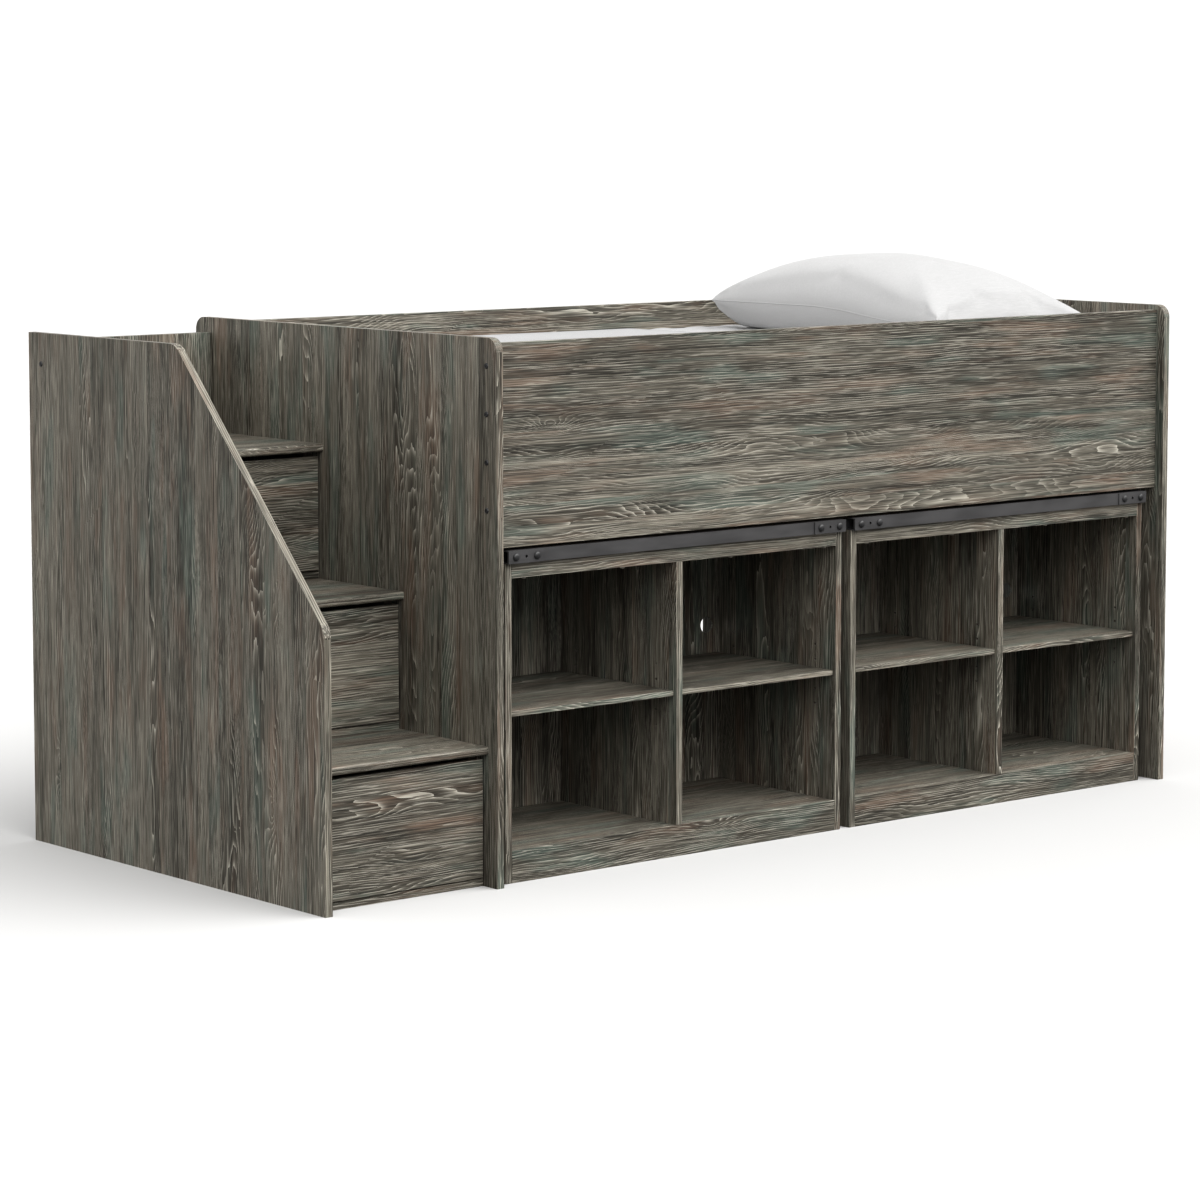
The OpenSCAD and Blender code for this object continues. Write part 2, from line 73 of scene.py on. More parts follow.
class Graph:
    """Adds nodes to a tree. A value given to a call is a socket to link, a number, or a vector."""

    def __init__(self, tree):
        self.tree = tree

    def node(self, kind, **settings):
        made = self.tree.nodes.new(kind)
        for name, value in settings.items():
            setattr(made, name, value)
        return made

    def feed(self, socket, value):
        if isinstance(value, bpy.types.NodeSocket):
            self.tree.links.new(value, socket)
        elif value is not None:
            socket.default_value = value

    def math(self, operation, a, b=None):
        made = self.node("ShaderNodeMath", operation=operation)
        self.feed(made.inputs[0], a)
        self.feed(made.inputs[1], b)
        return made.outputs[0]

    def vector(self, operation, a, b=None):
        made = self.node("ShaderNodeVectorMath", operation=operation)
        self.feed(made.inputs[0], a)
        self.feed(made.inputs[1], b)
        return made.outputs["Value" if operation in ("DOT_PRODUCT", "LENGTH") else "Vector"]

    def join(self, x, y, z):
        made = self.node("ShaderNodeCombineXYZ")
        for socket, value in zip(made.inputs, (x, y, z)):
            self.feed(socket, value)
        return made.outputs[0]

    def noise(self, vector, detail=0.0, roughness=0.5):
        made = self.node("ShaderNodeTexNoise")
        self.feed(made.inputs["Vector"], vector)
        made.inputs["Scale"].default_value = 1.0
        made.inputs["Detail"].default_value = detail
        made.inputs["Roughness"].default_value = roughness
        return made.outputs[0]

    def step(self, value, low, high, to_low=0.0, to_high=1.0):
        """Rises smoothly from to_low to to_high as value goes from low to high."""
        made = self.node("ShaderNodeMapRange", interpolation_type="SMOOTHSTEP")
        for socket, given in zip(made.inputs, (value, low, high, to_low, to_high)):
            self.feed(socket, given)
        return made.outputs[0]

    def mix(self, share, a, b, blend="MIX"):
        made = self.node("ShaderNodeMix", data_type="RGBA", blend_type=blend)
        self.feed(made.inputs[0], share)
        self.feed(made.inputs[6], a if isinstance(a, bpy.types.NodeSocket) else (*a, 1))
        self.feed(made.inputs[7], b if isinstance(b, bpy.types.NodeSocket) else (*b, 1))
        return made.outputs[2]

    def mix_vector(self, share, a, b):
        made = self.node("ShaderNodeMix", data_type="VECTOR")
        self.feed(made.inputs[0], share)
        self.feed(made.inputs[4], a)
        self.feed(made.inputs[5], b)
        return made.outputs[1]


# ---------------------------------------------------------------- light

def make_world():
    """A soft dome of studio light: strongest from high in front and to the right, weaker from the left and
    the back, and weakest all round. The camera sees it as plain white."""
    key, left, back, all_round = 6.7, 0.92, 0.60, 0.34
    world = bpy.data.worlds.new("studio")
    bpy.context.scene.world = world
    world.use_nodes = True
    world.node_tree.nodes.clear()
    g = Graph(world.node_tree)
    way = g.node("ShaderNodeTexCoord").outputs["Generated"]
    high = g.step(g.vector("DOT_PRODUCT", way, (0, 0, 1)), 0.18, 0.72, 0.03, 1.0)
    strength = all_round
    sides = (((0.45, -0.89, 0), g.math("MULTIPLY", high, key)), ((-1, 0, 0), left), ((0, 1, 0), back))
    for side, share in sides:
        facing = g.math("MAXIMUM", g.vector("DOT_PRODUCT", way, side), 0.0)
        strength = g.math("ADD", strength, g.math("MULTIPLY", facing, share))
    dome, backdrop = g.node("ShaderNodeBackground"), g.node("ShaderNodeBackground")
    dome.inputs["Color"].default_value = (1.0, 0.995, 0.985, 1)
    g.feed(dome.inputs["Strength"], strength)
    backdrop.inputs["Color"].default_value = (1, 1, 1, 1)
    backdrop.inputs["Strength"].default_value = 1.2
    mix = g.node("ShaderNodeMixShader")
    g.feed(mix.inputs[0], g.node("ShaderNodeLightPath").outputs["Is Camera Ray"])
    g.feed(mix.inputs[1], dome.outputs[0])
    g.feed(mix.inputs[2], backdrop.outputs[0])
    g.feed(g.node("ShaderNodeOutputWorld").inputs["Surface"], mix.outputs[0])
    settings = bpy.context.scene.view_settings
    settings.view_transform = "Standard"
    settings.look = "Medium High Contrast"


# ---------------------------------------------------------------- every material's start

def new_material(name, roughness=0.5, metallic=0.0, specular=0.5, sheen=0.0):
    """(material, graph, shader, object coordinates, object normal); what is constant sits on the shader."""
    material = bpy.data.materials.new(name)
    material.use_nodes = True
    graph = Graph(material.node_tree)
    shader = material.node_tree.nodes["Principled BSDF"]
    shader.inputs["Roughness"].default_value = roughness
    shader.inputs["Metallic"].default_value = metallic
    shader.inputs["Specular IOR Level"].default_value = specular
    shader.inputs["Sheen Weight"].default_value = sheen
    coordinates = graph.node("ShaderNodeTexCoord")
    return material, graph, shader, coordinates.outputs["Object"], coordinates.outputs["Normal"]


def bump(graph, shader, height, distance, strength):
    made = graph.node("ShaderNodeBump")
    made.inputs["Strength"].default_value = strength
    made.inputs["Distance"].default_value = distance
    graph.feed(made.inputs["Height"], height)
    graph.tree.links.new(made.outputs[0], shader.inputs["Normal"])


# ---------------------------------------------------------------- wood

BOARD_INPUTS = {"Along": "NodeSocketVector", "Face": "NodeSocketVector", "Offset": "NodeSocketVector"}
OAK_DARK, OAK_LIGHT = (0.052, 0.047, 0.037), (0.172, 0.158, 0.129)
OAK_RED, OAK_GREEN = (0.172, 0.118, 0.087), (0.100, 0.136, 0.117)
OAK_LIME, OAK_KNOT = (0.60, 0.57, 0.49), (0.026, 0.022, 0.018)


def new_group(name, inputs, outputs):
    """(node group, graph, its given sockets, its output sockets), from the kinds of socket by name."""
    tree = bpy.data.node_groups.new(name, "ShaderNodeTree")
    for way, sockets in (("INPUT", inputs), ("OUTPUT", outputs)):
        for socket, kind in sockets.items():
            tree.interface.new_socket(name=socket, in_out=way, socket_type=kind)
    g = Graph(tree)
    return tree, g, g.node("NodeGroupInput").outputs, g.node("NodeGroupOutput").inputs


def on_board(g, coordinates, given):
    """The board coordinates inside a wood group."""
    board = g.node("ShaderNodeGroup", node_tree=coordinates)
    for name in BOARD_INPUTS:
        g.feed(board.inputs[name], given[name])
    return board.outputs


def make_grain_group():
    """Board coordinates for every wood: x runs along the grain, y across it and z into the face.

    On a board's narrow edges and ends the grain follows the edge, as edge banding does."""
    tree, g, given, out = new_group("board_coordinates", BOARD_INPUTS,
                                    {"Vector": "NodeSocketVector", "Edge": "NodeSocketFloat"})
    texture = g.node("ShaderNodeTexCoord")
    point, normal = texture.outputs["Object"], texture.outputs["Normal"]
    along, face = given["Along"], given["Face"]
    across = g.vector("CROSS_PRODUCT", along, face)
    on_face = g.join(*(g.vector("DOT_PRODUCT", point, axis) for axis in (along, across, face)))
    edge_way = g.vector("NORMALIZE", g.vector("CROSS_PRODUCT", normal, face))
    on_edge = g.join(*(g.vector("DOT_PRODUCT", point, axis) for axis in (edge_way, face, normal)))
    facing = g.math("ABSOLUTE", g.vector("DOT_PRODUCT", normal, face))
    is_edge = g.math("LESS_THAN", facing, 0.5)
    place = g.vector("ADD", g.mix_vector(is_edge, on_face, on_edge), given["Offset"])
    g.feed(out["Vector"], place)
    g.feed(out["Edge"], is_edge)
    return tree


def make_oak_group(coordinates):
    """Weathered, limed oak: growth rings with white-filled pores, knots, and grey, red and green tints."""
    tree, g, given, out = new_group("limed_oak", BOARD_INPUTS, {
        "Color": "NodeSocketColor", "Roughness": "NodeSocketFloat", "Height": "NodeSocketFloat"})
    board = on_board(g, coordinates, given)
    q = board["Vector"]
    staves_per_metre, rings_per_metre, edge_band_and_painted_highlight = 15, 200, 0.12

    def at(along, across):
        return g.vector("MULTIPLY", q, (along, across, across))

    split = g.node("ShaderNodeSeparateXYZ")
    g.feed(split.inputs[0], q)
    along, across, depth = split.outputs
    # staves: strips of uneven width, each with its own grain, tone and tint
    uneven = g.noise(g.join(0.0, g.math("MULTIPLY", across, 9), depth))
    stave = g.math("FLOOR", g.math("ADD", g.math("MULTIPLY", across, staves_per_metre),
                                   g.math("MULTIPLY", uneven, 2)))
    lot = g.node("ShaderNodeTexWhiteNoise", noise_dimensions="1D")
    g.feed(lot.inputs["W"], stave)
    draw = g.node("ShaderNodeSeparateXYZ")
    g.feed(draw.inputs[0], lot.outputs["Color"])
    apart = g.math("MULTIPLY", stave, 17.3)
    # knots: sparse cells, each a stretched spot that pushes the rings round itself
    cells = g.node("ShaderNodeTexVoronoi", feature="F1")
    g.feed(cells.inputs["Vector"], at(3.2, 10.0))
    cells.inputs["Scale"].default_value = 1.0
    far = cells.outputs["Distance"]
    chosen = g.step(g.vector("DOT_PRODUCT", cells.outputs["Color"], (1, 0, 0)), 0.60, 0.61)
    swell = g.math("MULTIPLY", chosen, g.math("POWER", 2.718, g.math("MULTIPLY", far, -7)))
    knot = g.math("MULTIPLY", chosen, g.step(far, 0.060, 0.015))
    # growth rings: lines along the grain, swept into arches and loops by broad stretched waves
    waves = g.noise(g.join(g.math("ADD", g.math("MULTIPLY", along, 1.9), apart),
                           g.math("MULTIPLY", across, 9), g.math("MULTIPLY", depth, 9)), 1.5, 0.4)
    wobble = g.noise(at(5.0, 40.0), detail=2.0, roughness=0.55)
    rings = g.math("MULTIPLY", across, rings_per_metre)
    rings = g.math("ADD", rings, g.math("MULTIPLY", waves, g.step(draw.outputs[0], 0.1, 0.8, 5, 36)))
    rings = g.math("ADD", rings, g.math("MULTIPLY", wobble, 2.2))
    rings = g.math("ADD", rings, g.math("MULTIPLY", swell, 11))
    phase = g.math("FRACT", rings)
    early = g.math("POWER", phase, 5.5)
    # pores and fibres: fine streaks along the grain
    pores = g.noise(at(14.0, 520.0), detail=1.0, roughness=0.6)
    fibre = g.noise(at(6.0, 520.0), detail=1.0, roughness=0.6)
    streak = g.noise(at(1.6, 46.0), detail=3.0, roughness=0.6)
    tint = g.noise(g.join(g.math("ADD", g.math("MULTIPLY", along, 2.8), apart),
                          g.math("MULTIPLY", across, 15), 4.0), 2.5, 0.6)
    limed = g.step(g.noise(at(2.1, 24.0), detail=1.0), 0.36, 0.60, 0.30, 1.0)
    liming = g.math("MULTIPLY", g.math("MULTIPLY", early, limed), g.step(pores, 0.36, 0.54))
    liming = g.math("MAXIMUM", liming, g.math("MULTIPLY", g.step(pores, 0.60, 0.70), 0.42))
    # colour
    tone = g.math("ADD", streak, g.math("MULTIPLY", g.math("SUBTRACT", draw.outputs[1], 0.5), 0.22))
    colour = g.mix(g.step(tone, 0.28, 0.72), OAK_DARK, OAK_LIGHT)
    colour = g.mix(g.step(tint, 0.52, 0.68, 0.0, 0.54), colour, OAK_RED)
    colour = g.mix(g.step(tint, 0.48, 0.34, 0.0, 0.52), colour, OAK_GREEN)
    darker = g.step(fibre, 0.36, 0.64, 0.50, 1.42)
    darker = g.math("MULTIPLY", darker, g.math("ADD", 0.76, g.math("MULTIPLY", phase, 0.34)))
    colour = g.mix(1.0, colour, g.join(darker, darker, darker), "MULTIPLY")
    colour = g.mix(g.math("MULTIPLY", liming, 0.95), colour, OAK_LIME)
    colour = g.mix(g.math("MULTIPLY", knot, 0.8), colour, OAK_KNOT)
    # narrow edges and ends are made 12% lighter: partly lighter edge banding, partly a painted highlight
    # along the board edges
    lift = g.math("ADD", g.math("MULTIPLY", board["Edge"], edge_band_and_painted_highlight), 1.0)
    colour = g.mix(1.0, colour, g.join(lift, lift, lift), "MULTIPLY")
    g.feed(out["Color"], colour)
    g.feed(out["Roughness"], g.step(fibre, 0.25, 0.75, 0.62, 0.50))
    height = g.math("SUBTRACT", g.math("MULTIPLY", fibre, 0.6), g.math("MULTIPLY", liming, 0.5))
    g.feed(out["Height"], height)
    return tree


def make_plain_wood_group(coordinates):
    """Light planed wood, pine or birch, from its two tones."""
    own_inputs = {"Rings": "NodeSocketFloat", "Light": "NodeSocketColor", "Dark": "NodeSocketColor"}
    tree, g, given, out = new_group("plain_wood", {**BOARD_INPUTS, **own_inputs},
                                    {"Color": "NodeSocketColor", "Height": "NodeSocketFloat"})
    q = on_board(g, coordinates, given)["Vector"]
    split = g.node("ShaderNodeSeparateXYZ")
    g.feed(split.inputs[0], q)
    waves = g.noise(g.vector("MULTIPLY", q, (0.9, 6.0, 6.0)), detail=1.0)
    rings = g.math("ADD", g.math("MULTIPLY", split.outputs[1], given["Rings"]),
                   g.math("MULTIPLY", waves, 16))
    late = g.math("POWER", g.math("FRACT", rings), 3.0)
    fibre = g.noise(g.vector("MULTIPLY", q, (7.0, 240.0, 240.0)), detail=2.0, roughness=0.6)
    share = g.math("ADD", g.math("MULTIPLY", late, 0.6), g.math("MULTIPLY", fibre, 0.5))
    g.feed(out["Color"], g.mix(share, given["Light"], given["Dark"]))
    g.feed(out["Height"], fibre)
    return tree


COORDINATES = make_grain_group()
OAK = make_oak_group(COORDINATES)
PLAIN_WOOD = make_plain_wood_group(COORDINATES)


def wood_material(name, group, along, face, seed, **values):
    """One board's own material: its grain runs along one axis of the frame and starts at its own place."""
    grain_depth = 0.0003
    material, graph, shader, _, _ = new_material(name, roughness=0.55, specular=0.35)
    draw = random.Random(seed)
    wood = graph.node("ShaderNodeGroup", node_tree=group)
    wood.inputs["Along"].default_value = along
    wood.inputs["Face"].default_value = face
    wood.inputs["Offset"].default_value = [draw.uniform(2, 40) for _ in range(3)]
    for key, value in values.items():
        wood.inputs[key].default_value = value
    graph.tree.links.new(wood.outputs["Color"], shader.inputs["Base Color"])
    if "Roughness" in wood.outputs:
        graph.tree.links.new(wood.outputs["Roughness"], shader.inputs["Roughness"])
    bump(graph, shader, wood.outputs["Height"], grain_depth, 0.4)
    return material


def dress(node, material):
    """Gives a CAD node its material."""
    slots = NODES[node].data.materials
    slots.clear()
    slots.append(material)


# board: (grain direction, direction its face looks)
OAK_BOARDS = {
    "left_end_panel": (Z, X), "right_end_panel": (Z, X), "front_rail": (X, Y), "back_rail": (X, Y),
    "stair_side_panel": (Z, X), "stair_back_panel": (Z, Y), "bottom_tread": (X, Z), "middle_tread": (X, Z),
    "top_tread": (X, Z), "toe_rails": (X, Y), "bottom_drawer_front": (X, Y), "middle_drawer_front": (X, Y),
    "top_drawer_front": (X, Y),
}
CASE_BOARDS = {
    "left_side": (Z, X), "right_side": (Z, X), "divider": (Z, X), "top": (X, Z), "deck": (X, Z),
    "plinth": (X, Y), "top_strip": (X, Y), "back": (Z, Y), "shelves": (X, Z),
}
for case in ("left", "right"):
    for board, axes in CASE_BOARDS.items():
        OAK_BOARDS[f"{case}_case_{board}"] = axes


def dress_boards():
    for seed, (node, (along, face)) in enumerate(OAK_BOARDS.items()):
        dress(node, wood_material(f"oak_{node}", OAK, along, face, seed))
    birch = {"Light": (0.62, 0.50, 0.35, 1), "Dark": (0.50, 0.37, 0.23, 1), "Rings": 60.0}
    pine = {"Light": (0.66, 0.49, 0.28, 1), "Dark": (0.48, 0.29, 0.13, 1), "Rings": 75.0}
    # painted shade: the tread cleats get a near-black pine colour so that they read as the dark gap above the
    # drawers
    pine_painted_as_shade = {"Light": (0.11, 0.095, 0.075, 1), "Dark": (0.06, 0.05, 0.04, 1), "Rings": 75.0}
    for step in ("bottom", "middle", "top"):
        dress(f"{step}_drawer_sides", wood_material(f"birch_{step}_sides", PLAIN_WOOD, Y, X, 50, **birch))
        dress(f"{step}_drawer_back", wood_material(f"birch_{step}_back", PLAIN_WOOD, X, Y, 51, **birch))
    dress("bed_slats", wood_material("pine_slats", PLAIN_WOOD, Y, Z, 52, **pine))
    dress("slat_ledgers", wood_material("pine_ledgers", PLAIN_WOOD, X, Y, 53, **pine))
    dress("tread_cleats", wood_material("pine_cleats_painted_shade", PLAIN_WOOD, Y, X, 54, **pine_painted_as_shade))


# ---------------------------------------------------------------- other hard materials

def hardboard():
    material, g, shader, point, _ = new_material("hardboard", roughness=0.6)
    flecks = g.noise(g.vector("MULTIPLY", point, (420,) * 3), 3.0, 0.7)
    colour = g.mix(g.step(flecks, 0.3, 0.7), (0.30, 0.20, 0.12), (0.46, 0.33, 0.21))
    g.tree.links.new(colour, shader.inputs["Base Color"])
    bump(g, shader, flecks, 0.0002, 0.3)
    return material


def coated_steel(name, colour, roughness, grain):
    """Powder coat: a fine orange-peel skin with slight changes of tone."""
    material, g, shader, point, _ = new_material(name, roughness=roughness)
    peel = g.noise(g.vector("MULTIPLY", point, (grain,) * 3), 2.0, 0.6)
    broad = g.noise(g.vector("MULTIPLY", point, (9, 40, 40)), 2.0, 0.5)
    lighter = tuple(c * 1.35 for c in colour)
    g.tree.links.new(g.mix(g.step(broad, 0.3, 0.7), colour, lighter), shader.inputs["Base Color"])
    g.tree.links.new(g.step(broad, 0.2, 0.8, roughness - 0.06, roughness + 0.08), shader.inputs["Roughness"])
    bump(g, shader, peel, 0.00015, 0.6)
    return material


def zinc_plate():
    material, g, shader, point, _ = new_material("zinc_plate", roughness=0.35, metallic=1.0)
    streaks = g.noise(g.vector("MULTIPLY", point, (160, 30, 160)), 2.0, 0.6)
    g.tree.links.new(g.mix(streaks, (0.50, 0.52, 0.55), (0.72, 0.73, 0.75)), shader.inputs["Base Color"])
    g.tree.links.new(g.step(streaks, 0.2, 0.8, 0.26, 0.46), shader.inputs["Roughness"])
    return material


def cap_plastic():
    material, g, shader, point, _ = new_material("cap_plastic", roughness=0.5)
    tone = g.noise(g.vector("MULTIPLY", point, (300,) * 3), 2.0, 0.5)
    g.tree.links.new(g.mix(tone, (0.26, 0.24, 0.205), (0.34, 0.32, 0.28)), shader.inputs["Base Color"])
    return material


def woven(name, colour, pitch, depth, sheen=0.25):
    """Cloth of threads that cross at the given pitch on faces turned any way, with slubs and cloudy tone."""
    material, g, shader, point, normal = new_material(name, roughness=0.85, specular=0.25, sheen=sheen)
    turn = 2 * math.pi / pitch
    split = g.node("ShaderNodeSeparateXYZ")
    g.feed(split.inputs[0], g.vector("MULTIPLY", point, (turn,) * 3))
    x, y, z = split.outputs
    steep = g.vector("ABSOLUTE", normal)
    parts = g.node("ShaderNodeSeparateXYZ")
    g.feed(parts.inputs[0], steep)
    flat = g.step(parts.outputs[2], 0.5, 0.75)
    sideways = g.step(g.math("SUBTRACT", parts.outputs[0], parts.outputs[1]), -0.1, 0.1)
    upright = g.math("SUBTRACT", 1.0, flat)
    turned = g.math("MULTIPLY", sideways, upright)
    u = g.math("ADD", g.math("MULTIPLY", x, g.math("SUBTRACT", 1.0, turned)), g.math("MULTIPLY", y, turned))
    v = g.math("ADD", g.math("MULTIPLY", y, flat), g.math("MULTIPLY", z, upright))
    threads = g.math("MULTIPLY", g.math("SINE", u), g.math("SINE", v))
    slubs = g.noise(g.vector("MULTIPLY", point, (35, 420, 420)), 2.0, 0.6)
    cloudy = g.noise(g.vector("MULTIPLY", point, (5, 5, 5)), 2.0, 0.5)
    lighter = g.step(g.math("ADD", g.math("MULTIPLY", threads, 0.10), slubs), 0.35, 0.7, 0.94, 1.02)
    lighter = g.math("MULTIPLY", lighter, g.step(cloudy, 0.3, 0.7, 0.965, 1.0))
    shade = g.join(lighter, lighter, lighter)
    g.tree.links.new(g.mix(1.0, colour, shade, "MULTIPLY"), shader.inputs["Base Color"])
    height = g.math("ADD", g.math("MULTIPLY", threads, 0.5), slubs)
    bump(g, shader, height, depth, 0.5)
    return material


def dress_hardware():
    gunmetal = coated_steel("gunmetal", (0.052, 0.051, 0.052), 0.42, 900)
    blackened = coated_steel("blackened_steel", (0.026, 0.026, 0.027), 0.35, 1400)
    zinc = zinc_plate()
    base = hardboard()
    for node in ("left_steel_bar", "right_steel_bar", "bar_end_plates"):
        dress(node, gunmetal)
    for node in ("rail_bolts", "stair_bolts", "bar_bolts"):
        dress(node, blackened)
    for node in ("barrel_nuts", "drawer_channels", "shelf_pins"):
        dress(node, zinc)
    for step in ("bottom", "middle", "top"):
        dress(f"{step}_drawer_slides", zinc)
        dress(f"{step}_drawer_base", base)
    dress("strip_screws", cap_plastic())
    dress("slat_straps", woven("webbing", (0.78, 0.77, 0.74), 0.0022, 0.0006))


# ---------------------------------------------------------------- soft goods

def link_mesh(name, mesh, material):
    piece = bpy.data.objects.new(name, mesh)
    bpy.context.scene.collection.objects.link(piece)
    mesh.materials.append(material)
    for polygon in mesh.polygons:
        polygon.use_smooth = True
    return piece


def mesh_from(bm, name):
    """The finished mesh of a bmesh, with its faces turned outward."""
    bmesh.ops.recalc_face_normals(bm, faces=bm.faces)
    mesh = bpy.data.meshes.new(name)
    bm.to_mesh(mesh)
    bm.free()
    return mesh


def add_grid(bm, rows, flip=False):
    """Faces between the rows of a grid of vertices."""
    for a, b in zip(rows, rows[1:]):
        for i in range(len(a) - 1):
            quad = (a[i], a[i + 1], b[i + 1], b[i])
            bm.faces.new(quad[::-1] if flip else quad)


def rounded_loop(half_x, half_y, radius, per_corner, per_side):
    """Points (x, y) round a rounded rectangle about the origin, anticlockwise."""
    points = []
    corners = ((1, 1, 0), (-1, 1, 90), (-1, -1, 180), (1, -1, 270))
    for k, (sx, sy, start) in enumerate(corners):
        cx, cy = sx * (half_x - radius), sy * (half_y - radius)
        for i in range(per_corner + 1):
            a = math.radians(start + 90 * i / per_corner)
            points.append((cx + radius * math.cos(a), cy + radius * math.sin(a)))
        nx, ny, _ = corners[(k + 1) % 4]
        ex, ey = nx * (half_x - radius), ny * (half_y - radius)
        a = math.radians(start + 90)
        out_x, out_y = radius * math.cos(a), radius * math.sin(a)
        for i in range(1, per_side):
            t = i / per_side
            points.append((cx + (ex - cx) * t + out_x, cy + (ey - cy) * t + out_y))
    return points


def smooth01(t):
    t = min(1.0, max(0.0, t))
    return t * t * (3 - 2 * t)


def make_mattress(cloth, tape_cloth):
    """A spring mattress: quilted top, plain border with its sides slightly bowed, and two tape edges."""
    low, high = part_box("mattress")
    centre = (low + high) / 2
    half_x, half_y, height = (high.x - low.x) / 2, (high.y - low.y) / 2, high.z - low.z
    spacing, quilt, tuft_depth = 0.012, 0.11, 0.006
    inset, corner = 0.008, 0.045    # how far inside the box the top's rim lies, and its radius
    crown, hollow, fade = 0.012, 0.004, 0.05    # rise of the top, of the bottom, and how wide the rise is
    levels, bow_depth, turn = 9, 0.0065, 0.055    # of the border, which bows both ways this near a corner

    def top_z(x, y):
        dome = smooth01(min(half_x - abs(x), half_y - abs(y)) / fade)
        along = math.sin(math.pi * (x + y) / quilt) * math.sin(math.pi * (x - y) / quilt)
        return dome, tuft_depth * (1 - abs(along) ** 0.35)

    bm = bmesh.new()
    nx, ny = int(2 * half_x / spacing), int(2 * half_y / spacing)
    rims = []
    for side, level in ((1, height), (-1, 0.0)):
        grid = []
        for j in range(ny + 1):
            row = []
            for i in range(nx + 1):
                x = -half_x + inset + (2 * half_x - 2 * inset) * i / nx
                y = -half_y + inset + (2 * half_y - 2 * inset) * j / ny
                ax, ay = abs(x) - (half_x - inset - corner), abs(y) - (half_y - inset - corner)
                if ax > 0 and ay > 0:
                    m = max(ax, ay) / math.hypot(ax, ay)
                    x = math.copysign(half_x - inset - corner + ax * m, x)
                    y = math.copysign(half_y - inset - corner + ay * m, y)
                dome, tuft = top_z(x, y)
                if side > 0:
                    z = level - crown + crown * dome - tuft * dome
                else:
                    z = level + hollow * (1 - dome)
                row.append(bm.verts.new((x, y, z)))
            grid.append(row)
        add_grid(bm, grid, flip=side < 0)
        rims.append(grid[0][:] + [row[-1] for row in grid[1:]] +
                    list(reversed(grid[-1][:-1])) + [row[0] for row in reversed(grid[1:-1])])
    top_rim, bottom_rim = rims
    rings = [top_rim]
    for k in range(1, levels):
        t = k / levels
        ring = []
        for a, b in zip(top_rim, bottom_rim):
            p = a.co.lerp(b.co, t)
            way = Vector((math.copysign(1, a.co.x) if abs(a.co.x) > half_x - turn else 0,
                          math.copysign(1, a.co.y) if abs(a.co.y) > half_y - turn else 0, 0))
            if way.length:
                way.normalize()
            bow = bow_depth * math.sin(math.pi * t) ** 0.5
            ring.append(bm.verts.new(p + way * bow))
        rings.append(ring)
    rings.append(bottom_rim)
    count = len(top_rim)
    for upper, lower in zip(rings, rings[1:]):
        for i in range(count):
            n = (i + 1) % count
            bm.faces.new((upper[i], lower[i], lower[n], upper[n]))
    bmesh.ops.translate(bm, verts=bm.verts, vec=Vector((centre.x, centre.y, low.z)))
    mattress = link_mesh("quilted_mattress", mesh_from(bm, "quilted_mattress"), cloth)
    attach(mattress, "root")
    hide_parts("mattress")
    tape_in, tape_corner, tape_radius = 0.0055, 0.048, 0.0045
    loop = rounded_loop(half_x - tape_in, half_y - tape_in, tape_corner, 8, 24)
    for name, z in (("mattress_top_tape", high.z - 0.010), ("mattress_bottom_tape", low.z + 0.009)):
        tape = tube_loop(name, [(centre.x + x, centre.y + y, z) for x, y in loop], tape_radius, tape_cloth)
        tape.parent = mattress


def tube_loop(name, points, radius, material, sides=10):
    """A closed round cord through the points."""
    bm = bmesh.new()
    count = len(points)
    rings = []
    for i in range(count):
        before, here, after = (Vector(points[(i + k) % count]) for k in (-1, 0, 1))
        way = (after - before).normalized()
        side = way.cross(Z).normalized()
        up = side.cross(way)
        ring = []
        for k in range(sides):
            a = 2 * math.pi * k / sides
            ring.append(bm.verts.new(here + side * radius * math.cos(a) + up * radius * math.sin(a)))
        rings.append(ring)
    for i in range(count):
        a, b = rings[i], rings[(i + 1) % count]
        for k in range(sides):
            n = (k + 1) % sides
            bm.faces.new((a[k], a[n], b[n], b[k]))
    return link_mesh(name, mesh_from(bm, name), material)


def pillow_start(half_x, half_y, up, down):
    """A pillow before it is filled out: two crowned halves that meet in one seam, with its sides drawn in."""
    bm = bmesh.new()
    n, fullness, drawn_x, drawn_y = 72, 2.6, 0.035, 0.030
    spread = [math.sin(math.pi / 2 * (2 * i / n - 1)) for i in range(n + 1)]
    for side, crown in ((1, up), (-1, down)):
        grid = []
        for v in spread:
            row = []
            for u in spread:
                x = half_x * u * (1 - drawn_x * abs(u) * (1 - v * v) ** 1.5)
                y = half_y * v * (1 - drawn_y * abs(v) * (1 - u * u) ** 1.5)
                swell = math.sqrt(max(0.0, 1 - abs(u) ** fullness) * max(0.0, 1 - abs(v) ** fullness))
                row.append(bm.verts.new((x, y, side * crown * swell)))
            grid.append(row)
        add_grid(bm, grid, flip=side < 0)
    bmesh.ops.remove_doubles(bm, verts=bm.verts, dist=1e-6)
    return mesh_from(bm, "pillow_start")


def fill_out(piece, pressure, cap, frames=20):
    """Cloth simulation of the filled cover: inflate it, apply, and cap each point's travel."""
    start = [v.co.copy() for v in piece.data.vertices]
    cloth = piece.modifiers.new("cloth", "CLOTH")
    settings = cloth.settings
    settings.quality = 6
    settings.mass = 0.25
    settings.tension_stiffness = settings.compression_stiffness = 12
    settings.shear_stiffness = 6
    settings.bending_stiffness = 0.15
    settings.use_pressure = True
    settings.uniform_pressure_force = pressure
    settings.shrink_min = -0.035
    settings.effector_weights.gravity = 0
    cloth.point_cache.frame_start, cloth.point_cache.frame_end = 1, frames
    scene = bpy.context.scene
    for number in range(1, frames + 1):
        scene.frame_set(number)
    apply_modifiers(piece)
    scene.frame_set(1)
    for v, s in zip(piece.data.vertices, start):
        way = v.co - s
        if way.length > cap:
            v.co = s + way * (cap / way.length)


